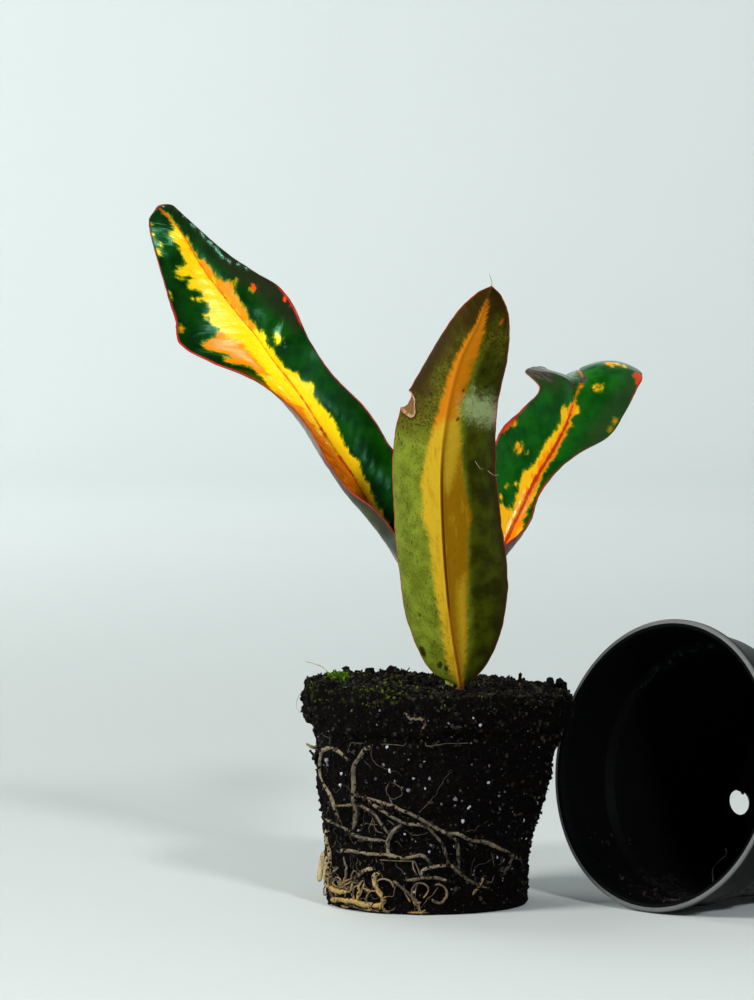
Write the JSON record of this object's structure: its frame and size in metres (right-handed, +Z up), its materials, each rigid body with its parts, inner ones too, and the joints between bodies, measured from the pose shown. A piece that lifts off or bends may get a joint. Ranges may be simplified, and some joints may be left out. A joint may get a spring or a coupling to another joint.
{
  "type": "croton plant with bare root ball and empty nursery pot",
  "caption": "Young variegated croton on its bare root ball, with its empty black nursery pot lying on its side beside it.",
  "frame": {"origin": "centre of the root ball's flat bottom, on the surface that the plant and the pot stand on", "axes": "+Z up; -Y towards the front of the plant, where its nearest leaf shows its underside; +X to the right, where the pot lies"},
  "size_m": [0.1551, 0.0907, 0.1437],
  "materials": {
    "soil": "matte",
    "root": "satin",
    "root_base": "satin",
    "stem": "satin",
    "leaf_underside": "satin",
    "leaf_top": "gloss",
    "pot_plastic": "satin"
  },
  "bodies": {
    "root": {"root_ball": "soil", "roots_front": "root", "roots_back": "root", "root_curl": "root", "roots_base": "root_base", "stem": "stem", "leaf_front": "leaf_underside", "leaf_left": "leaf_top", "leaf_right": "leaf_top", "pot": "pot_plastic"}
  },
  "joints": []
}
